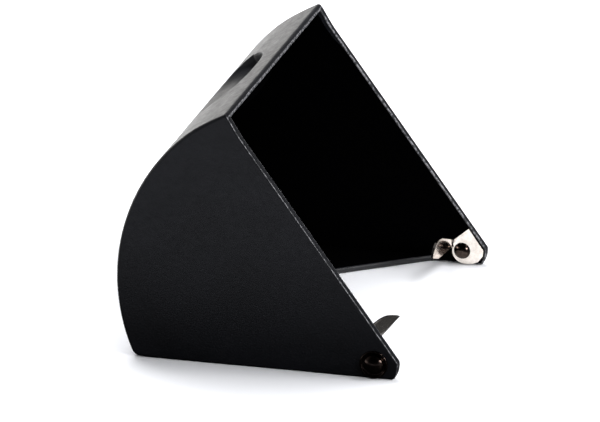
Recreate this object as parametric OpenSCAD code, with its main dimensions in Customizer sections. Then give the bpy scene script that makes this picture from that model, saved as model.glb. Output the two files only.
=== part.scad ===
// Hinged leather-covered hood with two swinging spring clips.
// Frame: X across the hood, -Y out of the mouth, +Z up, Z = 0 on the underside.

/* [Hood] */
// Overall width across the cheeks, mm
hood_w = 122; // [80:1:200]
// Radius of the curved back, mm
back_r = 68.3; // [45:0.1:120]
// Curved back centre, behind the rivet axis, mm
back_y = 21.35; // [10:0.05:40]
// Curved back centre, above the rivet axis, mm
back_z = 23.1; // [10:0.1:40]
// Mouth lean back from vertical, degrees
mouth_lean = 36.2; // [20:0.1:50]
// Mouth plane ahead of the rivet axis, mm
mouth_off = 7.35; // [5.5:0.05:12]
// Ear radius about the rivet axis, mm
ear_r = 8.4; // [7.6:0.1:12]
// Rivet axis height above the underside, mm
axis_z = 5; // [4.9:0.1:8]
// Bottom back corner radius, mm
corner_r = 3.5; // [3.2:0.1:5]

/* [Wall] */
// Leather thickness on cheeks and back, mm
leather_t = 0.8; // [0.5:0.1:1.2]
// Cheek board thickness, mm
board_t = 1.6; // [1:0.1:2.4]
// Cheek velvet thickness, mm
lining_t = 0.6; // [0.4:0.1:1]
// Back board thickness, mm
back_board_t = 0.9; // [0.6:0.1:1.6]
// Back velvet thickness, mm
back_lining_t = 0.4; // [0.3:0.1:0.6]
// Turned edge depth at the mouth and lip, mm
edge_t = 0.7; // [0.5:0.1:1.2]
// Leather and velvet thickness on the floor, mm
floor_skin = 0.5; // [0.4:0.1:0.8]
// Floor board thickness, mm
floor_board = 1; // [0.8:0.1:1.6]

/* [Floor cut-out] */
// Cut-out round end radius, mm
cut_r = 30; // [20:0.5:36]
// Cut-out round end centre, behind the rivet axis, mm
cut_y = 36.3; // [20:0.1:45]
// Angle of the slanted sides from the cross axis, degrees
cut_a = 52; // [40:1:65]

/* [Thumb recess] */
// Recess width, mm
thumb_w = 52; // [30:1:70]
// Recess length along the curve, mm
thumb_l = 23; // [14:1:30]
// Depth at the front ridge, mm
thumb_d = 7; // [2:0.1:8]
// Recess middle from the mouth edge along the curve, mm
thumb_s = 18; // [14:0.5:30]
// Moulded cup wall, mm
cup_t = 1.2; // [0.8:0.1:2]

/* [Rivets] */
// Rivet shank radius, mm
shank_r = 1.5; // [1:0.05:2.2]
// Outer cap radius, mm
cap_r = 3.3; // [2.4:0.1:5]
// Outer cap dome height, mm
cap_h = 1.5; // [0.8:0.1:3]
// Dished washer radius, mm
washer_r = 4.85; // [4:0.05:4.95]
// Inner cap radius, mm
head_r = 2.9; // [2:0.1:3.2]
// Inner cap dome height, mm
head_h = 1.7; // [0.8:0.1:3]

/* [Clips] */
// Clip sheet thickness, mm
sheet = 0.9; // [0.5:0.1:1.5]
// Inside bend radius, mm
bend_r = 0.6; // [0.4:0.1:1.5]
// Clearance each side of the clip plate, mm
clip_gap = 0.05; // [0.02:0.01:0.2]
// Right clip bend angle, degrees
bend_right = 86; // [60:1:120]
// Left clip bend angle, degrees
bend_left = 100; // [60:1:120]

/* [Hidden] */
$fn = 96;

hw = hood_w / 2;
wall = leather_t + board_t + lining_t;
back_wall = leather_t + back_board_t + back_lining_t;
in_x = hw - wall;
floor_t = 2 * floor_skin + floor_board;
// the rivet axis is placed so that the hood is centred on Y = 0
axis_y = -(back_y + back_r - ear_r) / 2;
nf = [-cos(mouth_lean), sin(mouth_lean)];
tf = [sin(mouth_lean), cos(mouth_lean)];
// the point where the curved back meets the mouth plane
k = nf[0] * back_y + nf[1] * back_z;
h = tf[0] * back_y + tf[1] * back_z;
top_s = h + sqrt(pow(back_r, 2) - pow(mouth_off - k, 2));
top_p = [nf[0] * mouth_off + tf[0] * top_s, nf[1] * mouth_off + tf[1] * top_s];
top_a = atan2(top_p[1] - back_z, top_p[0] - back_y);
// bottom back corner fillet centre
cor_y = back_y + sqrt(pow(back_r - corner_r, 2) - pow(back_z + axis_z - corner_r, 2));
cor_z = corner_r - axis_z;
cor_a = atan2(cor_z - back_z, cor_y - back_y);
// clip fold line behind the rivet axis, and the lower and upper ends of each fold
fold_y = 2.7;
root_right = [1.1, 3.9];
root_left = [-0.1, 2.7];

// side outline: db is taken off the back, df off the underside, m off the mouth
module side(db, df, m) {
    lo = -axis_z + df;
    rc = corner_r - db;
    intersection() {
        union() {
            intersection() {
                translate([back_y, back_z]) circle(back_r - db);
                polygon([
                    [nf[0] * (mouth_off - m), nf[1] * (mouth_off - m)],
                    [nf[0] * (mouth_off - m) + tf[0] * 160, nf[1] * (mouth_off - m) + tf[1] * 160],
                    [160, 160], [160, -40], [0, -40], [0, 0]]);
            }
            // the ear is round below and flush with the mouth plane above
            intersection() {
                circle(ear_r - m);
                polygon([
                    [nf[0] * (mouth_off - m) - tf[0] * 60, nf[1] * (mouth_off - m) - tf[1] * 60],
                    [nf[0] * (mouth_off - m) + tf[0] * 60, nf[1] * (mouth_off - m) + tf[1] * 60],
                    [90, 50], [90, -50]]);
            }
        }
        union() {
            polygon([[-40, lo], [cor_y, lo], [cor_y, cor_z],
                [cor_y + 30 * cos(cor_a), cor_z + 30 * sin(cor_a)], [200, 200], [-40, 200]]);
            translate([cor_y, cor_z]) circle(rc);
        }
    }
}

// extrude a side outline across X from x0 to x1
module across(x0, x1) {
    translate([x0, axis_y, axis_z]) rotate([90, 0, 90]) linear_extrude(x1 - x0) children();
}

// the back half only: above the corner and behind the mouth
module back_zone() {
    polygon([[cor_y, -40], [cor_y, cor_z + 3], [0, 60], [-60, 60], [-60, 200], [200, 200], [200, -40]]);
}

// a shell that follows the curved back
module back_shell(b0, f0, b1, f1, m) {
    intersection() {
        difference() {
            side(b0, f0, m);
            side(b1, f1, -20);
        }
        back_zone();
    }
}

// plan of the floor cut-out, o wider all round
module cutout(o) {
    ty = cut_y + (cut_r + o) * cos(cut_a);
    tx = (cut_r + o) * sin(cut_a);
    ex = 80;
    ey = ty - (ex - tx) * tan(cut_a);
    translate([0, axis_y]) {
        polygon([[-tx, ty], [-ex, ey], [-ex, -60], [ex, -60], [ex, ey], [tx, ty]]);
        translate([0, cut_y]) circle(cut_r + o);
    }
}

module rivet_hole(side_x) {
    translate([side_x > 0 ? in_x - 2 : -hw - 2, axis_y, axis_z])
        rotate([0, 90, 0]) cylinder(h = wall + 4, r = shank_r);
}

// thumb recess volume, o larger all round
module thumb(o) {
    lh = thumb_l / 2;
    rr = lh + o;
    sx = thumb_w / 2 - lh;
    ca = top_a - thumb_s / back_r * 180 / PI;
    tilt = atan(thumb_d / thumb_l);
    yb = sqrt(pow(back_r, 2) - pow(lh, 2)) - 0.15;
    translate([0, axis_y + back_y, axis_z + back_z]) rotate([ca, 0, 0])
        translate([0, yb, -lh]) rotate([tilt, 0, 0]) translate([0, -o, lh])
            rotate([-90, 0, 0]) linear_extrude(20) {
                translate([-sx, -rr]) square([2 * sx, 2 * rr]);
                translate([-sx, 0]) circle(rr);
                translate([sx, 0]) circle(rr);
            }
}

// ---- leather covers
module cheek_cover(s) {
    difference() {
        across(s > 0 ? hw - leather_t : -hw, s > 0 ? hw : -hw + leather_t) side(0, 0, edge_t);
        rivet_hole(s);
    }
}
module cover_left() color([0.05, 0.05, 0.06]) cheek_cover(-1);
module cover_right() color([0.05, 0.05, 0.06]) cheek_cover(1);
module cover_back() color([0.07, 0.07, 0.08]) difference() {
    across(-hw + leather_t, hw - leather_t) back_shell(0, 0, leather_t, floor_skin, edge_t);
    thumb(0);
}
module cover_floor() color([0.06, 0.06, 0.07]) difference() {
    across(-hw + leather_t, hw - leather_t) difference() {
        side(0, 0, edge_t);
        polygon([[-60, -axis_z + floor_skin], [-60, 200], [200, 200], [200, -60], [cor_y, -60],
            [cor_y, -axis_z + floor_skin]]);
    }
    intersection() {
        translate([0, 0, -1]) linear_extrude(5) cutout(edge_t);
        translate([-in_x, -100, -1]) cube([2 * in_x, 300, 5]);
    }
}

// ---- boards
module cheek_board(s) {
    x0 = hw - leather_t - board_t;
    difference() {
        across(s > 0 ? x0 : -x0 - board_t, s > 0 ? x0 + board_t : -x0)
            side(leather_t, floor_skin, edge_t);
        rivet_hole(s);
    }
}
module board_left() color([0.35, 0.27, 0.2]) cheek_board(-1);
module board_right() color([0.35, 0.27, 0.2]) cheek_board(1);
module board_back() color([0.35, 0.27, 0.2]) difference() {
    across(-in_x, in_x)
        back_shell(leather_t, floor_skin, leather_t + back_board_t, floor_skin + floor_board, edge_t);
    thumb(cup_t);
}
module board_floor() color([0.35, 0.27, 0.2]) difference() {
    translate([-in_x, axis_y - 20, floor_skin]) cube([2 * in_x, 20 + cor_y, floor_board]);
    translate([0, 0, -1]) linear_extrude(5) cutout(edge_t);
}

// ---- velvet linings
module cheek_lining(s) {
    difference() {
        across(s > 0 ? in_x : -in_x - lining_t, s > 0 ? in_x + lining_t : -in_x)
            side(leather_t, floor_skin, edge_t);
        rivet_hole(s);
    }
}
module lining_left() color([0.02, 0.02, 0.02]) cheek_lining(-1);
module lining_right() color([0.02, 0.02, 0.02]) cheek_lining(1);
module lining_back() color([0.02, 0.02, 0.02]) difference() {
    across(-in_x, in_x)
        back_shell(leather_t + back_board_t, floor_skin + floor_board, back_wall, floor_t, edge_t);
    thumb(cup_t);
}
module lining_floor() color([0.02, 0.02, 0.02]) difference() {
    translate([-in_x, axis_y - 20, floor_skin + floor_board])
        cube([2 * in_x, 20 + cor_y, floor_skin]);
    translate([0, 0, -1]) linear_extrude(5) cutout(edge_t);
}

// ---- turned leather edges
module cheek_edge(s) {
    across(s > 0 ? in_x : -hw, s > 0 ? hw : -in_x) difference() {
        side(0, 0, 0);
        side(-20, -20, edge_t);
    }
}
module edge_left() color([0.09, 0.09, 0.1]) cheek_edge(-1);
module edge_right() color([0.09, 0.09, 0.1]) cheek_edge(1);
module edge_top() color([0.09, 0.09, 0.1]) across(-in_x, in_x) intersection() {
    difference() {
        side(0, 0, 0);
        side(-20, -20, edge_t);
        side(back_wall, floor_t, -20);
    }
    polygon([[-60, 60], [-60, 200], [200, 200], [200, 60]]);
}
module edge_floor() color([0.09, 0.09, 0.1]) intersection() {
    linear_extrude(floor_t) difference() {
        cutout(edge_t);
        cutout(0);
    }
    translate([-in_x, -100, 0]) cube([2 * in_x, 300, floor_t]);
}

// ---- moulded thumb cup, between the leather and the velvet
module thumb_cup() color([0.04, 0.04, 0.05]) difference() {
    intersection() {
        thumb(cup_t);
        translate([-in_x, axis_y + back_y, axis_z + back_z]) rotate([0, 90, 0])
            cylinder(h = 2 * in_x, r = back_r - leather_t);
    }
    thumb(0);
}

// ---- rivets
module on_axis(s) {
    translate([0, axis_y, axis_z]) rotate([0, s > 0 ? 90 : -90, 0]) children();
}
module cap(r, ht) {
    sr = (r * r + ht * ht) / (2 * ht);
    intersection() {
        translate([0, 0, ht - sr]) sphere(sr);
        cylinder(h = ht + 1, r = r + 1);
    }
}
module stud(s) on_axis(s) {
    translate([0, 0, hw + 0.8]) cap(cap_r, cap_h);
    translate([0, 0, hw + 0.5]) cylinder(h = 0.3, r = cap_r);
    translate([0, 0, in_x - sheet - 2 * clip_gap - 0.8])
        cylinder(h = wall + sheet + 2 * clip_gap + 1.3, r = shank_r);
}
module stud_left() color([0.15, 0.11, 0.1]) stud(-1);
module stud_right() color([0.15, 0.11, 0.1]) stud(1);
module washer(s) on_axis(s) translate([0, 0, hw]) rotate_extrude() {
    translate([shank_r, 0]) square([washer_r - 0.5 - shank_r, 0.5]);
    translate([washer_r - 0.5, 0.5]) circle(0.5);
}
module washer_left() color([0.18, 0.13, 0.11]) washer(-1);
module washer_right() color([0.18, 0.13, 0.11]) washer(1);
module rivet_cap(s) difference() {
    translate([s * (in_x - sheet - 2 * clip_gap), axis_y, axis_z])
        rotate([0, s > 0 ? -90 : 90, 0]) cap(head_r, head_h);
    on_axis(s) translate([0, 0, in_x - sheet - 2 * clip_gap - 0.8])
        cylinder(h = 2, r = shank_r);
}
module rivet_cap_left() color([0.2, 0.15, 0.14]) rivet_cap(-1);
module rivet_cap_right() color([0.2, 0.15, 0.14]) rivet_cap(1);

// ---- clips: a shield plate with a leaf blade bent inward from its rear edge
module plate(root) difference() {
    union() {
        polygon([[-2.3, 8.1], [-7.5, 0.6], [-7.3, -1.4], [-5.6, -3.7], [-3.6, -4.5], [-1, -4.7],
            [2.9, -1.6], [fold_y, root[0]], [fold_y, root[1]]]);
        translate([-0.9, -0.2]) circle(4.4);
    }
    circle(shank_r + 0.05);
}
// leaf outlines, from the fold at 0 outward; both meet the fold at its full width
module blade_right() polygon([[0, root_right[0]], [15, 2], [20.7, 4], [19.8, 5.6], [18.2, 7], [16, 8],
    [13.4, 8.4], [10.8, 7.95], [0, root_right[1]]]);
module blade_left() intersection() {
    polygon([[0, root_left[0]], [11.8, 4.6], [26, 6.85], [26, 12], [6.2, 12], [0, root_left[1]]]);
    translate([9.5, -27.4]) circle(38);
}
module clip(bend, root) {
    translate([in_x - clip_gap - sheet, 0, 0]) rotate([90, 0, 90]) linear_extrude(sheet) plate(root);
    translate([in_x - clip_gap - sheet - bend_r, fold_y, 0]) {
        rotate_extrude(angle = bend) translate([bend_r, root[0]]) square([sheet, root[1] - root[0]]);
        rotate([0, 0, bend]) translate([bend_r, 0, 0])
            rotate([90, 0, 90]) linear_extrude(sheet) children();
    }
}
module clip_right() color([0.8, 0.77, 0.75]) translate([0, axis_y, axis_z])
    clip(bend_right, root_right) blade_right();
module clip_left() color([0.8, 0.77, 0.75]) translate([0, axis_y, axis_z])
    mirror([1, 0, 0]) clip(bend_left, root_left) blade_left();

cover_left();
cover_right();
cover_back();
cover_floor();
board_left();
board_right();
board_back();
board_floor();
lining_left();
lining_right();
lining_back();
lining_floor();
edge_left();
edge_right();
edge_top();
edge_floor();
thumb_cup();
stud_left();
stud_right();
washer_left();
washer_right();
rivet_cap_left();
rivet_cap_right();
clip_left();
clip_right();
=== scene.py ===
"""Looks of a leather-covered hood with two riveted clips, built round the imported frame.

Row frame in metres: +X across the hood, -Y out of its mouth, +Z up, the underside on Z = 0.
Outlines are worked out in millimetres about the rivet axis, as (behind it, above it).
"""

import math

import bmesh
import bpy
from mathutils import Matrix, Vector


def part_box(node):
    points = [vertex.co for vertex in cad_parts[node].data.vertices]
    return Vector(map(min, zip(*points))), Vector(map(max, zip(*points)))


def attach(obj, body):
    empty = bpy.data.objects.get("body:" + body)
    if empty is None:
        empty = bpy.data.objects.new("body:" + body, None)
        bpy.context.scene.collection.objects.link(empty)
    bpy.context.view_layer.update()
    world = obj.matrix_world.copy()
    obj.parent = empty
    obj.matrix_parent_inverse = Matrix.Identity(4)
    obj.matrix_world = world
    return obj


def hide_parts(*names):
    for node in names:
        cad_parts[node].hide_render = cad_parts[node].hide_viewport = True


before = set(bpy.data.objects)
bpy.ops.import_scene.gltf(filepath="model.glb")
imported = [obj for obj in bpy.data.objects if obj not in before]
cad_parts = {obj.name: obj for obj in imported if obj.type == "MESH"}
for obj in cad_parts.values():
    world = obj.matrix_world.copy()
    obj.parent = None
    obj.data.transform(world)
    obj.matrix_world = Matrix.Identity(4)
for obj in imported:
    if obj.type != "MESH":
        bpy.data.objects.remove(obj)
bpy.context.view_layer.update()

# ---- the hood's driving sizes, mm and degrees
MM = 0.001
HALF_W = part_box("cover_right")[1].x / MM
WALL = 3.0
BACK_WALL = 2.1
FLOOR_T = 2.0
BACK_R = 68.3
BACK_Y = 21.35
BACK_Z = 23.1
MOUTH_LEAN = math.radians(36.2)
MOUTH_OFF = 7.35
EAR_R = 8.4
AXIS_Z = 5.0
CORNER_R = 3.5
CUT_R = 30.0
CUT_Y = 36.3
CUT_A = math.radians(52)
AXIS_Y = -(BACK_Y + BACK_R - EAR_R) / 2
IN_X = HALF_W - WALL

# ---- how the leather is rounded over the edges, mm
TOP_ROUND = 1.3
EAR_ROUND = 1.3
NOSE_ROUND = 1.6
BACK_EDGE = 1.2
FRONT_EDGE = 0.8
INNER_EDGE = 0.5
LIP_EDGE = 0.6
TURN_IN = 0.7
# the mouth's top leans forward by FLARE over its last FLARE_FROM, and turns in deeper from OVER_FROM
FLARE = 0.9
FLARE_FROM = 9.0
OVER_FROM = 16.0
# how far above the rivet axis the painted highlight line along the front corner starts
HIGHLIGHT_LINE_FROM = -3.2
# outline points over which the front edge's rounding becomes the back's, and the back's the front's
PANEL_BLEND = 14
UNDER_BLEND = 8

# ---- spacing of points along the outline and across the panel, mm
EDGE_STEP = 0.3
RIM_STEP = 0.4
CORNER_STEP = 0.6
BACK_STEP = 1.0
STRAIGHT_STEP = 1.5
FINE_COLUMN = 0.9
COLUMN = 1.75
UNDER_ROWS = 14

# ---- thumb recess, mm
THUMB_HALF_W = 26.0
THUMB_HALF_L = 11.5
THUMB_S = 18.0
THUMB_D = 7.0
THUMB_POWER = 2.6
# smooth panel kept before and after the recess, and the least share of its length at its ends
THUMB_MARGIN = 1.2
THUMB_LEAST = 0.3
# (mm past the front of the recess, share of its depth) of the rows over its front edge
RIDGE_ROWS = (
    (-0.7, 0.0), (-0.3, 0.0), (0.0, 0.03), (0.15, 0.18), (0.3, 0.55), (0.45, 0.85), (0.8, 1.0)
)
SLOPE_ROWS = 22
SLOPE_FULLNESS = 0.5
# the bulge that it makes inside: past the recess all round, clear of the wall, and where it fades
BULGE_MARGIN = 4.0
BULGE_CLEAR = 0.04
BULGE_EXTRA = 0.4
BULGE_FADE, BULGE_FADE_FROM, BULGE_FADE_TO = 0.6, 4, 33
BULGE_ROWS, BULGE_COLUMNS = 26, 34

# ---- rivets: outlines as (radius, outward from the cheek's face), mm
DISH = ((1.5, 0.0), (4.85, 0.0), (4.85, 0.72), (4.35, 0.78), (3.9, 0.42), (3.5, 0.3), (1.5, 0.3))
DISH_ROUND = 0.22
STUD_NECK = ((1.45, -WALL - 2.1), (1.45, 0.3), (3.35, 0.3), (3.4, 0.62))
STUD_RADIUS, STUD_HEIGHT, STUD_BASE = 3.3, 1.5, 0.8
DOME_ROWS = 14
TURN_STEPS = 72

# ---- camera: where it stands about the rivet axis, and the point that it looks at
CAMERA_AZIMUTH = math.radians(-75.37)
CAMERA_ELEVATION = math.radians(19.76)
CAMERA_DISTANCE = 5.0
CAMERA_LENS = 884.6
CAMERA_AIM = Vector((0.0001, 0.0015, 0.0349))

# ---- light: where the room is bright, and how bright it is from its dark side (0) to that one (1)
ROOM_BRIGHT = (0.55, 0.83, 0.0)
ROOM_LEVELS = (
    (0.0, (0.03, 0.031, 0.034, 1)),
    (0.3, (0.09, 0.09, 0.09, 1)),
    (0.62, (0.62, 0.61, 0.6, 1)),
    (1.0, (1, 0.985, 0.96, 1)),
)
ROOM_STRENGTH = 2.7
# sines of elevation between which the room dims, and the share that is left above
ROOM_TOP = (0.03, 0.24)
ROOM_TOP_SHARE = 0.12
# the floor that reflections meet, m: dark left of the first pair and in front of the second
FLOOR_HALF = 0.8
FLOOR_DARK = (("X", -0.053, -0.042), ("Y", -0.056, -0.048))
FLOOR_LIFT_FROM, FLOOR_LIFT_TO, FLOOR_LIFT = -0.1, -0.18, 0.4
LAMP_TARGET = (0, 0, 0.04)
# name, direction from the hood, distance m, side m, power W, whether glossy surfaces show it
LAMPS = (
    ("soft overhead", (0.5, 0.35, 0.9), 1.2, 1.0, 23, False),
    ("mouth fill", (0.1, -0.75, 0.75), 1.2, 1.0, 11, False),
    ("near fill", (-0.75, -0.3, 0.7), 1.2, 1.0, 3, False),
    ("front corner", (-0.4, -0.85, 0.33), 1.2, 0.26, 6, True),
    ("high front", (0.1, -0.6, 0.78), 1.2, 0.25, 3, True),
)


# ---- the hood's outline
def mouth_point(off, s):
    """The point off mm in front of the rivet axis and s mm up the mouth plane."""
    c, n = math.cos(MOUTH_LEAN), math.sin(MOUTH_LEAN)
    return (-c * off + n * s, n * off + c * s)


MOUTH_OUT = mouth_point(1, 0)
MOUTH_UP = mouth_point(0, 1)
BACK_K = MOUTH_OUT[0] * BACK_Y + MOUTH_OUT[1] * BACK_Z
BACK_H = MOUTH_UP[0] * BACK_Y + MOUTH_UP[1] * BACK_Z


def up_mouth(radius, off):
    """How far up the mouth plane, at off, a circle of that radius about the back's centre reaches."""
    return BACK_H + math.sqrt(radius**2 - (off - BACK_K) ** 2)


def arc(centre, radius, start, end, step):
    """Points and inward normals along an arc, without its last point."""
    count = max(2, math.ceil(abs(end - start) * radius / step))
    made = []
    for i in range(count):
        a = start + (end - start) * i / count
        d = (math.cos(a), math.sin(a))
        made.append(((centre[0] + radius * d[0], centre[1] + radius * d[1]), (-d[0], -d[1])))
    return made


def line(start, end, normal, step):
    """Points along a straight run with one inward normal, without its last point."""
    count = max(1, round(math.dist(start, end) / step))
    return [
        (tuple(a + (b - a) * i / count for a, b in zip(start, end)), normal) for i in range(count)
    ]


def profile():
    """The side outline from the inside of the mouth's top edge, over the back and round by the ear.

    Returns its (point, inward normal) list and where the panel and the underside start in it.
    """
    inward = (-MOUTH_OUT[0], -MOUTH_OUT[1])
    inner_s = up_mouth(BACK_R - BACK_WALL, MOUTH_OFF) + INNER_EDGE
    top_s = up_mouth(BACK_R - TOP_ROUND, MOUTH_OFF - TOP_ROUND)
    top = mouth_point(MOUTH_OFF - TOP_ROUND, top_s)
    top_a = math.atan2(top[1] - BACK_Z, top[0] - BACK_Y)
    front_a = math.atan2(MOUTH_OUT[1], MOUTH_OUT[0])
    cor_z = CORNER_R - AXIS_Z
    cor_y = BACK_Y + math.sqrt((BACK_R - CORNER_R) ** 2 - (cor_z - BACK_Z) ** 2)
    cor_a = math.atan2(cor_z - BACK_Z, cor_y - BACK_Y)
    ear_z = EAR_ROUND - AXIS_Z
    ear_y = -math.sqrt((EAR_R - EAR_ROUND) ** 2 - ear_z**2)
    ear_a = math.atan2(ear_z, ear_y) + 2 * math.pi
    nose_s = -math.sqrt((EAR_R - NOSE_ROUND) ** 2 - (MOUTH_OFF - NOSE_ROUND) ** 2)
    nose = mouth_point(MOUTH_OFF - NOSE_ROUND, nose_s)
    nose_a = math.atan2(nose[1], nose[0]) % (2 * math.pi)

    rim_start, rim_end = mouth_point(MOUTH_OFF, inner_s), mouth_point(MOUTH_OFF, top_s)
    out = line(rim_start, rim_end, inward, RIM_STEP)
    panel_at = len(out)
    out += arc(top, TOP_ROUND, front_a, top_a, EDGE_STEP)
    out += arc((BACK_Y, BACK_Z), BACK_R, top_a, cor_a, BACK_STEP)
    out += arc((cor_y, cor_z), CORNER_R, cor_a, -math.pi / 2, CORNER_STEP)
    under_at = len(out)
    out += line((cor_y, -AXIS_Z), (ear_y, -AXIS_Z), (0, 1), STRAIGHT_STEP)
    out += arc((ear_y, ear_z), EAR_ROUND, 1.5 * math.pi, ear_a, EDGE_STEP)
    out += arc((0, 0), EAR_R, ear_a, nose_a, CORNER_STEP)
    out += arc(nose, NOSE_ROUND, nose_a, front_a, EDGE_STEP)
    out += line(mouth_point(MOUTH_OFF, nose_s), rim_start, inward, STRAIGHT_STEP)
    return out, panel_at, under_at


OUTLINE, PANEL_AT, UNDER_AT = profile()
TOP_Z = mouth_point(MOUTH_OFF, up_mouth(BACK_R, MOUTH_OFF))[1]
BACK_START = next(
    i for i, (point, _) in enumerate(OUTLINE)
    if i > PANEL_AT and abs(math.dist(point, (BACK_Y, BACK_Z)) - BACK_R) < 1e-6
)


def back_angle(index):
    """The direction of an outline point from the back's centre."""
    y, z = OUTLINE[index][0]
    return math.atan2(z - BACK_Z, y - BACK_Y)


def back_length(index):
    """How far along the curved back an outline point lies from where the back starts, mm."""
    return (back_angle(BACK_START) - back_angle(index)) * BACK_R


def on_back(s, sink):
    """The point s mm down the curved back from where it starts, sunk by sink mm."""
    a = back_angle(BACK_START) - s / BACK_R
    r = BACK_R - sink
    return (BACK_Y + r * math.cos(a), BACK_Z + r * math.sin(a))


def lip(x):
    """The floor's front edge at x: its place behind the rivet axis, and its plan normal into the floor."""
    tip_x = CUT_R * math.sin(CUT_A)
    if abs(x) < tip_x:
        y = CUT_Y + math.sqrt(CUT_R**2 - x * x)
        return y, (x / CUT_R, (y - CUT_Y) / CUT_R)
    y = CUT_Y + CUT_R * math.cos(CUT_A) - (abs(x) - tip_x) * math.tan(CUT_A)
    return y, (math.copysign(math.sin(CUT_A), x), math.cos(CUT_A))


def smooth_step(a, b, v):
    """0 below a, 1 above b, and an S curve between."""
    t = min(1.0, max(0.0, (v - a) / (b - a)))
    return t * t * (3 - 2 * t)


def place(x, y, z):
    """A point in mm about the rivet axis, in the row frame, with the mouth's top leaning forward."""
    y -= FLARE * smooth_step(TOP_Z - FLARE_FROM, TOP_Z, z)
    return Vector((x * MM, (AXIS_Y + y) * MM, (AXIS_Z + z) * MM))


class Skin:
    """Collects quads between rows of points, then welds them into one mesh."""

    def __init__(self):
        self.bm = bmesh.new()

    def grid(self, rows, close=False, surface=0):
        """Quads between rows. The surface is a material's index, or gives it for a column."""
        made = [[self.bm.verts.new(p) for p in row] for row in rows]
        for a, b in zip(made, made[1:]):
            last = len(a) if close else len(a) - 1
            for i in range(last):
                j = (i + 1) % len(a)
                face = self.bm.faces.new((a[i], a[j], b[j], b[i]))
                face.material_index = surface(i) if callable(surface) else surface
        return made

    def fill(self, loop):
        self.bm.faces.new(loop)

    def finish(self, name, body, *materials, weighted=True):
        """The welded mesh as an object that rides on the body."""
        bmesh.ops.remove_doubles(self.bm, verts=self.bm.verts, dist=2e-6)
        bmesh.ops.recalc_face_normals(self.bm, faces=self.bm.faces)
        for face in self.bm.faces:
            face.smooth = True
        mesh = bpy.data.meshes.new(name)
        self.bm.to_mesh(mesh)
        self.bm.free()
        obj = bpy.data.objects.new(name, mesh)
        bpy.context.scene.collection.objects.link(obj)
        for surface in materials:
            obj.data.materials.append(surface)
        if weighted:
            obj.modifiers.new("flat faces stay flat", "WEIGHTED_NORMAL")
        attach(obj, body)
        return obj


# ---- materials
def node(tree, kind, **values):
    """A node with those attributes and sockets set; a socket's spaces are written as underscores."""
    made = tree.nodes.new(kind)
    for key, value in values.items():
        if hasattr(made, key):
            setattr(made, key, value)
        else:
            made.inputs[key.replace("_", " ")].default_value = value
    return made


def material(name, **sockets):
    """A new material with those shader sockets set, its node tree and its shader."""
    made = bpy.data.materials.new(name)
    made.use_nodes = True
    shader = made.node_tree.nodes["Principled BSDF"]
    for key, value in sockets.items():
        shader.inputs[key.replace("_", " ")].default_value = value
    return made, made.node_tree, shader


def coordinates(tree, scale=(1, 1, 1)):
    """The object's own coordinates, in metres, scaled."""
    where = node(tree, "ShaderNodeTexCoord")
    mapped = node(tree, "ShaderNodeMapping", Scale=scale)
    tree.links.new(where.outputs["Object"], mapped.inputs["Vector"])
    return mapped.outputs["Vector"]


def noise(tree, at, **values):
    """The factor of a noise texture at those coordinates."""
    made = node(tree, "ShaderNodeTexNoise", **values)
    tree.links.new(at, made.inputs["Vector"])
    return made.outputs["Fac"]


def ramp(tree, source, stops):
    """The colour that the source picks from rising (position, colour) stops."""
    made = node(tree, "ShaderNodeValToRGB")
    made.color_ramp.elements[0].position, made.color_ramp.elements[0].color = stops[0]
    made.color_ramp.elements[1].position, made.color_ramp.elements[1].color = stops[1]
    for position, colour in stops[2:]:
        made.color_ramp.elements.new(position).color = colour
    tree.links.new(source, made.inputs["Fac"])
    return made.outputs["Color"]


def spread(tree, value, start, end, low=0.0, high=1.0, curve="LINEAR"):
    """The value carried from start..end to low..high, and held beyond them."""
    made = node(tree, "ShaderNodeMapRange", interpolation_type=curve)
    made.inputs["From Min"].default_value, made.inputs["From Max"].default_value = start, end
    made.inputs["To Min"].default_value, made.inputs["To Max"].default_value = low, high
    tree.links.new(value, made.inputs["Value"])
    return made.outputs["Result"]


def bump(tree, height, strength, depth, under=None):
    """The normal of a relief depth metres high, on top of another normal if there is one."""
    made = node(tree, "ShaderNodeBump", Strength=strength, Distance=depth)
    tree.links.new(height, made.inputs["Height"])
    if under is not None:
        tree.links.new(under, made.inputs["Normal"])
    return made.outputs["Normal"]


def grey(v):
    return (v, v, v, 1)


def leather(name, light, grain):
    """Fine pebbled leather: cells about 0.8 mm across, faint creases and a cloudy tone."""
    made, tree, shader = material(name, Specular_IOR_Level=0.42)
    at = coordinates(tree, (1, 1, 1.6))
    cells = node(tree, "ShaderNodeTexVoronoi", Scale=1300.0, Randomness=0.9)
    cells.feature = "SMOOTH_F1"
    tree.links.new(at, cells.inputs["Vector"])
    creases = noise(tree, at, Scale=420.0, Detail=6.0, Roughness=0.62)
    patches = noise(tree, at, Scale=38.0, Detail=3.0)
    dark = tuple(0.62 * c for c in light)
    colour = ramp(tree, patches, ((0.32, (*dark, 1)), (0.68, (*light, 1))))
    tree.links.new(colour, shader.inputs["Base Color"])
    rough = ramp(tree, creases, ((0.3, grey(0.34)), (0.7, grey(0.48))))
    tree.links.new(rough, shader.inputs["Roughness"])
    fine = bump(tree, cells.outputs["Distance"], grain, 0.00012)
    broad = bump(tree, creases, grain * 0.45, 0.00014, under=fine)
    tree.links.new(broad, shader.inputs["Normal"])
    return made


def grained(name, sockets, texture, stops, strength, depth, stretch=(1, 1, 1)):
    """A surface whose colour and relief both follow one noise."""
    made, tree, shader = material(name, **sockets)
    grain = noise(tree, coordinates(tree, stretch), **texture)
    tree.links.new(ramp(tree, grain, stops), shader.inputs["Base Color"])
    tree.links.new(bump(tree, grain, strength, depth), shader.inputs["Normal"])
    return made


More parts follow.
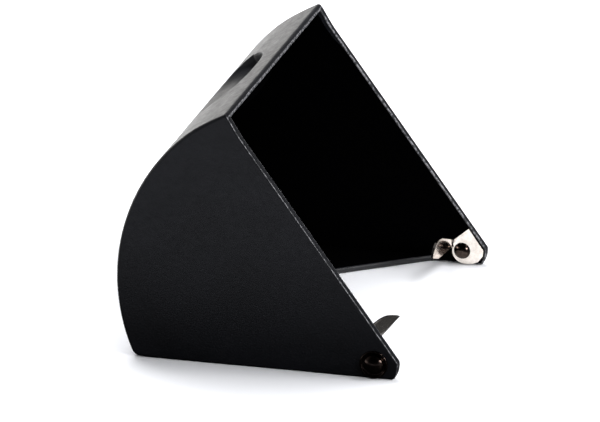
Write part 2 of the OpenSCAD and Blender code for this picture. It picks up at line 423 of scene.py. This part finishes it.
def metal(name, clean, worn, smooth, dull, scale, pits):
    """Plated metal: cloudy tone, roughness that varies with it, and shallow pits."""
    made, tree, shader = material(name, Metallic=1.0)
    at = coordinates(tree)
    cloud = noise(tree, at, Scale=scale, Detail=6.0, Roughness=0.6)
    specks = noise(tree, at, Scale=scale * 5, Detail=3.0)
    colour = ramp(tree, cloud, ((0.35, (*worn, 1)), (0.62, (*clean, 1))))
    tree.links.new(colour, shader.inputs["Base Color"])
    rough = ramp(tree, cloud, ((0.35, grey(dull)), (0.65, grey(smooth))))
    tree.links.new(rough, shader.inputs["Roughness"])
    tree.links.new(bump(tree, specks, pits, 0.00005), shader.inputs["Normal"])
    return made


LEATHER = leather("black leather", (0.0065, 0.007, 0.0095), 0.35)
# a painted highlight along the folded edges: grey flecks, lighter than the leather, stand in for the light
# that these rounded corners catch
PAINTED_EDGE_HIGHLIGHT = grained(
    "painted edge highlight",
    {"Roughness": 0.5, "Specular_IOR_Level": 0.5},
    {"Scale": 900.0, "Detail": 2.0, "Roughness": 0.6},
    ((0.44, (0.015, 0.016, 0.019, 1)), (0.58, (0.22, 0.22, 0.235, 1))),
    strength=0.5,
    depth=0.0001,
)
# short-pile cloth that returns almost no light
VELVET = grained(
    "black velvet",
    {"Roughness": 1.0, "Specular_IOR_Level": 0.0},
    {"Scale": 2600.0, "Detail": 2.0},
    ((0.3, (0.0004, 0.0004, 0.0005, 1)), (0.7, (0.0012, 0.0012, 0.0014, 1))),
    strength=0.5,
    depth=0.0002,
)
BOARD = grained(
    "pressed board",
    {"Roughness": 0.85},
    {"Scale": 500.0, "Detail": 5.0},
    ((0.3, (0.09, 0.072, 0.055, 1)), (0.7, (0.17, 0.14, 0.11, 1))),
    strength=0.4,
    depth=0.0001,
    stretch=(1, 3, 1),
)
BRONZE = metal(
    "dark bronze", (0.07, 0.052, 0.045), (0.03, 0.021, 0.018), 0.1, 0.26, scale=700.0, pits=0.2
)
NICKEL = metal(
    "nickel plate", (0.88, 0.83, 0.79), (0.70, 0.645, 0.60), 0.07, 0.17, scale=520.0, pits=0.12
)


# ---- the leather skin
def edge_round(index):
    """How far the leather rounds over from a cheek at this point of the outline, mm."""
    if index < PANEL_AT or index >= UNDER_AT + UNDER_BLEND:
        return FRONT_EDGE
    if index < UNDER_AT:
        run = smooth_step(PANEL_AT, PANEL_AT + PANEL_BLEND, index)
        return FRONT_EDGE + (BACK_EDGE - FRONT_EDGE) * run
    return BACK_EDGE + (FRONT_EDGE - BACK_EDGE) * (index - UNDER_AT) / UNDER_BLEND


def thumb_span(x):
    """Where the recess starts and ends along the back at x, in mm, and how deep it is there."""
    out = min(1.0, abs(x) / THUMB_HALF_W)
    half = THUMB_HALF_L * (1 - out**THUMB_POWER) ** (1 / THUMB_POWER)
    depth = THUMB_D * math.sqrt(half / THUMB_HALF_L)
    kept = max(half, THUMB_LEAST * THUMB_HALF_L)
    return THUMB_S - kept, THUMB_S + kept, depth


def thumb_rows():
    """Rows across the recess: (share of its length, mm past its front, share of its depth)."""
    rows = [(0.0, ahead, deep) for ahead, deep in RIDGE_ROWS]
    foot = RIDGE_ROWS[-1][0]
    for i in range(1, SLOPE_ROWS + 1):
        t = i / SLOPE_ROWS
        rows.append((t, foot * (1 - t), (1 - t) * (1 + SLOPE_FULLNESS * t)))
    return rows


def quarter(radius, steps):
    """(inset from the face, along it) pairs round a quarter circle, from the first face to the second."""
    return [
        (radius * (1 - math.sin(t)), radius * (1 - math.cos(t)))
        for t in (0.5 * math.pi * i / steps for i in range(steps + 1))
    ]


def cheek(skin, side):
    """One cheek: its flat face, its rounded outer edge all round, and its rim where nothing joins it."""
    count = len(OUTLINE)
    rim = range(UNDER_AT, count)
    front_at = next(i for i in rim if OUTLINE[i][0][1] > HIGHLIGHT_LINE_FROM)
    lip_y = lip(IN_X)[0]
    lip_at = next(i for i in rim if OUTLINE[i][0][0] < lip_y + 1)

    def ring(inset, x_of, first, last):
        """The outline's points from first to last, each moved in and set at its own x."""
        made = []
        for i in range(first, last):
            (y, z), (ny, nz) = OUTLINE[i % count]
            d = inset(i % count)
            made.append(place(side * x_of(i % count), y + d * ny, z + d * nz))
        return made

    def flush(_):
        return 0

    def inner_corner(_):
        return IN_X + INNER_EDGE

    rings = []
    for a, b in quarter(1.0, 5):
        rings.append(
            ring(lambda i, a=a: a * edge_round(i), lambda i, b=b: HALF_W - b * edge_round(i), 0, count)
        )
    made = skin.grid(rings[:3], close=True)
    skin.fill(made[0])
    # the front corner carries a painted highlight line, grey flecks along its middle
    skin.grid(rings[2:4], close=True, surface=lambda i: int(i >= front_at or i < PANEL_AT))
    skin.grid(rings[3:], close=True)

    # the rim: underside, ear and front, on to the inside of the mouth's top edge
    skin.grid([
        ring(flush, lambda i: HALF_W - edge_round(i), UNDER_AT, count + 1),
        ring(flush, inner_corner, UNDER_AT, count + 1),
    ])
    # behind the lip it runs on into the underside
    skin.grid([
        ring(flush, inner_corner, UNDER_AT, lip_at + 1),
        ring(flush, lambda i: IN_X, UNDER_AT, lip_at + 1),
    ])
    inner = []
    for along, inset in quarter(INNER_EDGE, 3):
        inner.append(
            ring(lambda i, d=inset: d, lambda i, b=along: IN_X + b, lip_at, count + 1)
        )
    # where the mouth leans forward, the leather turns in further and lies on the velvet
    over = [smooth_step(TOP_Z - OVER_FROM, TOP_Z - FLARE_FROM, z) for (_, z), _ in OUTLINE]
    inner.append(
        ring(lambda i: TURN_IN + over[i], lambda i: IN_X - 0.05 * over[i], lip_at, count + 1)
    )
    # the rim's rounded inner corner carries the painted highlight line
    skin.grid(inner[:4], surface=1)
    skin.grid(inner[3:])


def columns():
    """X of the panel's columns between the cheeks' inner faces, finer over the recess."""
    made = [-IN_X]
    while made[-1] < IN_X - 0.01:
        step = FINE_COLUMN if abs(made[-1] + 0.5) < THUMB_HALF_W + 1 else COLUMN
        made.append(min(IN_X, made[-1] + step))
    return made


def panel(skin):
    """The mouth's top edge, the curved back with its recess, and the underside as far as the cut-out."""
    xs = columns()

    def across(y, z, r, between=None):
        """A row at (y, z) as far as r on both sides, with other points between the cheeks if given."""
        sides = [place(x, y, z) for x in (-r, -IN_X - INNER_EDGE, IN_X + INNER_EDGE, r)]
        return [*sides[:2], *(between or [place(x, y, z) for x in xs]), *sides[2:]]

    def row(index):
        return across(*OUTLINE[index][0], HALF_W - edge_round(index))

    def first_past(s):
        return next(i for i in range(BACK_START, UNDER_AT) if back_length(i) > s)

    first_flat = first_past(THUMB_S - THUMB_HALF_L - THUMB_MARGIN)
    last_flat = first_past(THUMB_S + THUMB_HALF_L + THUMB_MARGIN)
    rows = [row(i) for i in range(0, first_flat)]
    # rows over the recess keep their places at the cheeks and bend to its front edge between them
    crossing = thumb_rows()
    start, end = back_length(first_flat), back_length(last_flat - 1)
    for n, (share, ahead, deep) in enumerate(crossing):
        level = start + n / (len(crossing) - 1) * (end - start)
        made = []
        for x in xs:
            front, back, depth = thumb_span(x)
            s = front + share * (back - front) + ahead
            hold = smooth_step(THUMB_HALF_W, IN_X, abs(x))
            s = s * (1 - hold) + level * hold
            made.append(place(x, *on_back(s, deep * depth)))
        rows.append(across(*on_back(level, 0), HALF_W - BACK_EDGE, made))
    rows += [row(i) for i in range(last_flat, UNDER_AT + 1)]
    # the first strip inside the mouth's top edge carries the painted highlight line
    skin.grid(rows[:2], surface=1)
    skin.grid(rows[1:])

    # the mouth's top edge turns in under itself
    inner_s = up_mouth(BACK_R - BACK_WALL, MOUTH_OFF)
    turned_in = []
    for along, inset in [*quarter(INNER_EDGE, 3), (-0.05, TURN_IN + 1)]:
        y, z = mouth_point(MOUTH_OFF - inset, inner_s + along)
        turned_in.append([place(x, y, z) for x in xs])
    # the top edge's rounded inner corner carries the painted highlight line
    skin.grid(turned_in[:4], surface=1)
    skin.grid(turned_in[3:])

    # the underside, then the lip's rounded edge
    start_y = OUTLINE[UNDER_AT][0][0]
    under = []
    for n in range(UNDER_ROWS + 1):
        t = n / UNDER_ROWS
        made = []
        for x in xs:
            y, (mx, my) = lip(x)
            px, py = x + mx * LIP_EDGE * t, y + my * LIP_EDGE
            made.append(place(px, start_y + (py - start_y) * t, -AXIS_Z))
        under.append(made)
    low = quarter(LIP_EDGE, 3)
    section = [(a, -AXIS_Z + b) for a, b in low]
    section += [(a, FLOOR_T - AXIS_Z - b) for a, b in reversed(low)]
    section.append((TURN_IN + 0.1, FLOOR_T - AXIS_Z))
    for inset, z in section[1:]:
        made = []
        for x in xs:
            y, (mx, my) = lip(x)
            made.append(place(x + mx * inset, y + my * inset, z))
        under.append(made)
    skin.grid(under)


def leather_skin():
    """All the leather as one skin, with painted highlight lines along its corners."""
    skin = Skin()
    cheek(skin, -1)
    cheek(skin, 1)
    panel(skin)
    made = skin.finish("hood_leather", "hood", LEATHER, PAINTED_EDGE_HIGHLIGHT)
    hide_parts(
        "cover_left", "cover_right", "cover_back", "cover_floor",
        "edge_left", "edge_right", "edge_top", "edge_floor",
    )


def thumb_bulge():
    """The velvet over the moulded cup, a soft bulge inside the hood."""
    skin = Skin()
    half_l, half_w = THUMB_HALF_L + BULGE_MARGIN, THUMB_HALF_W + BULGE_MARGIN
    rows = []
    for i in range(BULGE_ROWS + 1):
        s = THUMB_S + (i / BULGE_ROWS * 2 - 1) * half_l
        fade = 1 - BULGE_FADE * smooth_step(BULGE_FADE_FROM, BULGE_FADE_TO, s)
        made = []
        for j in range(BULGE_COLUMNS + 1):
            x = (j / BULGE_COLUMNS * 2 - 1) * half_w
            u = (abs(x) / half_w) ** 3 + (abs(s - THUMB_S) / half_l) ** 3
            rise = (THUMB_D + BULGE_EXTRA) * smooth_step(0.0, 1.0, 1 - u) * fade
            made.append(place(x, *on_back(s, BACK_WALL + BULGE_CLEAR + rise)))
        rows.append(made)
    skin.grid(rows)
    made = skin.finish("thumb_bulge", "hood", VELVET, weighted=False)
    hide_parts("thumb_cup")


# ---- rivets
def turned(name, side, outline, surface, replaced):
    """A piece turned about the rivet axis, from its outline from the middle outward."""
    skin = Skin()
    rows = []
    for r, out in outline:
        rows.append([
            place(side * (HALF_W + out), r * math.cos(a), r * math.sin(a))
            for a in (2 * math.pi * i / TURN_STEPS for i in range(TURN_STEPS))
        ])
    skin.grid(rows, close=True)
    made = skin.finish(name, "hood", surface, weighted=False)
    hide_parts(replaced)


def bend_points(points, radius):
    """The outline with each inner corner rounded by radius, three points to a corner."""
    out = [points[0]]
    for a, b, c in zip(points, points[1:], points[2:]):
        va, vc = Vector(a) - Vector(b), Vector(c) - Vector(b)
        cut = min(radius, va.length * 0.45, vc.length * 0.45)
        p, q = Vector(b) + va.normalized() * cut, Vector(b) + vc.normalized() * cut
        mid = (p + q) * 0.25 + Vector(b) * 0.5
        out += [tuple(p), tuple(mid), tuple(q)]
    out.append(points[-1])
    return out


def dome(radius, height, base):
    """The outline of a dome from its rim in to its top."""
    ball = (radius**2 + height**2) / (2 * height)
    half = math.asin(radius / ball)
    angles = [half * (1 - i / DOME_ROWS) for i in range(DOME_ROWS + 1)]
    return [(ball * math.sin(a) + 0.001, base + height - ball + ball * math.cos(a)) for a in angles]


def rivets():
    """A dished washer and a domed stud on each cheek."""
    dish = bend_points(DISH, DISH_ROUND)
    stud = [*STUD_NECK, *dome(STUD_RADIUS, STUD_HEIGHT, STUD_BASE)]
    for side, word in ((-1, "left"), (1, "right")):
        turned(f"washer_dish_{word}", side, dish, BRONZE, f"washer_{word}")
        turned(f"stud_dome_{word}", side, stud, BRONZE, f"stud_{word}")


# ---- the CAD pieces that show as they are
def dress():
    """Their materials, and the clips' tumbled edges."""
    surfaces = {"lining": VELVET, "board": BOARD, "rivet_cap": BRONZE, "clip": NICKEL}
    for name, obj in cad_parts.items():
        for start, surface in surfaces.items():
            if name.startswith(start):
                obj.material_slots[0].material = surface
    for word in ("left", "right"):
        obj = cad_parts[f"clip_{word}"]
        weld = obj.modifiers.new("join faces", "WELD")
        weld.merge_threshold = 1e-6
        soft = obj.modifiers.new("tumbled edges", "BEVEL")
        soft.width = 0.00012
        soft.segments = 2
        soft.limit_method = "ANGLE"
        soft.angle_limit = math.radians(40)
        soft.harden_normals = True


# ---- room, light and camera
def mix(tree, share, first, second):
    """From the first colour to the second by a share. The second may be a plain colour."""
    made = node(tree, "ShaderNodeMixRGB")
    tree.links.new(share, made.inputs["Fac"])
    tree.links.new(first, made.inputs["Color1"])
    if isinstance(second, tuple):
        made.inputs["Color2"].default_value = second
    else:
        tree.links.new(second, made.inputs["Color2"])
    return made.outputs["Color"]


def room_floor():
    """A floor that is plain and pale to the camera.

    Reflections and bounced light meet another one: dark left of the hood and in front of it, with
    a grey lift farther left. It keeps the left cheek and the metal as dark as they should be.
    """
    mesh = bpy.data.meshes.new("floor")
    size = FLOOR_HALF
    corners = [(-size, -size, 0), (size, -size, 0), (size, size, 0), (-size, size, 0)]
    mesh.from_pydata([(x, y, -0.0001) for x, y, _ in corners], [], [(0, 1, 2, 3)])
    floor = bpy.data.objects.new("floor", mesh)
    bpy.context.scene.collection.objects.link(floor)
    pale, tree, shader = material("pale floor", Roughness=0.6, Specular_IOR_Level=0.1)
    at = coordinates(tree)
    cloud = noise(tree, at, Scale=3.0, Detail=3.0)
    tone = ramp(tree, cloud, ((0.3, (0.88, 0.89, 0.93, 1)), (0.7, (0.9, 0.91, 0.94, 1))))
    split = node(tree, "ShaderNodeSeparateXYZ")
    tree.links.new(at, split.inputs["Vector"])
    both = node(tree, "ShaderNodeMath", operation="MULTIPLY")
    for socket, (axis, dark, light) in zip(both.inputs, FLOOR_DARK):
        tree.links.new(spread(tree, split.outputs[axis], dark, light), socket)
    dim = ramp(tree, both.outputs["Value"], ((0.0, grey(0.02)), (1.0, grey(0.95))))
    away = spread(tree, split.outputs["X"], FLOOR_LIFT_FROM, FLOOR_LIFT_TO, high=FLOOR_LIFT)
    dim = mix(tree, away, dim, (0.9, 0.92, 1.0, 1))
    path = node(tree, "ShaderNodeLightPath")
    seen = mix(tree, path.outputs["Is Camera Ray"], dim, tone)
    tree.links.new(seen, shader.inputs["Base Color"])
    mesh.materials.append(pale)


def room_light():
    """A backdrop that is white to the camera, and otherwise a room bright low down behind the hood."""
    world = bpy.data.worlds.new("white room")
    bpy.context.scene.world = world
    world.use_nodes = True
    tree = world.node_tree
    seen = tree.nodes["Background"]
    seen.inputs["Color"].default_value = (1, 1, 1, 1)
    where = node(tree, "ShaderNodeTexCoord")
    along = node(tree, "ShaderNodeVectorMath", operation="DOT_PRODUCT")
    along.inputs[1].default_value = Vector(ROOM_BRIGHT).normalized()
    tree.links.new(where.outputs["Generated"], along.inputs[0])
    level = ramp(tree, along.outputs["Value"], ROOM_LEVELS)
    height = node(tree, "ShaderNodeSeparateXYZ")
    tree.links.new(where.outputs["Generated"], height.inputs["Vector"])
    top = ROOM_STRENGTH * ROOM_TOP_SHARE
    strength = spread(tree, height.outputs["Z"], *ROOM_TOP, ROOM_STRENGTH, top, "SMOOTHSTEP")
    lit = node(tree, "ShaderNodeBackground")
    tree.links.new(level, lit.inputs["Color"])
    tree.links.new(strength, lit.inputs["Strength"])
    path = node(tree, "ShaderNodeLightPath")
    mixed = node(tree, "ShaderNodeMixShader")
    tree.links.new(path.outputs["Is Camera Ray"], mixed.inputs["Fac"])
    tree.links.new(lit.outputs["Background"], mixed.inputs[1])
    tree.links.new(seen.outputs["Background"], mixed.inputs[2])
    tree.links.new(mixed.outputs["Shader"], tree.nodes["World Output"].inputs["Surface"])


def lights():
    """Square soft lamps about the hood, all turned to it."""
    aim = Vector(LAMP_TARGET)
    for name, direction, away, size, power, shown in LAMPS:
        data = bpy.data.lights.new(name, "AREA")
        data.shape = "RECTANGLE"
        data.size, data.size_y = size, size
        data.energy = power
        obj = bpy.data.objects.new(name, data)
        bpy.context.scene.collection.objects.link(obj)
        at = Vector(direction).normalized() * away + aim
        obj.location = at
        obj.rotation_euler = (aim - at).to_track_quat("-Z", "Y").to_euler()
        obj.visible_glossy = shown


def camera():
    """A long lens at the hood's near left."""
    a, e = CAMERA_AZIMUTH, CAMERA_ELEVATION
    back = Vector((math.sin(a) * math.cos(e), -math.cos(a) * math.cos(e), math.sin(e)))
    data = bpy.data.cameras.new("camera")
    data.lens = CAMERA_LENS
    data.sensor_width = 36
    data.clip_start, data.clip_end = 0.1, 50
    obj = bpy.data.objects.new("camera", data)
    bpy.context.scene.collection.objects.link(obj)
    obj.location = place(0, 0, 0) + back * CAMERA_DISTANCE
    obj.rotation_euler = (CAMERA_AIM - obj.location).to_track_quat("-Z", "Y").to_euler()
    bpy.context.scene.camera = obj


leather_skin()
thumb_bulge()
rivets()
dress()
room_floor()
room_light()
lights()
camera()
bpy.context.scene.view_settings.view_transform = "Standard"

bpy.context.view_layer.update()
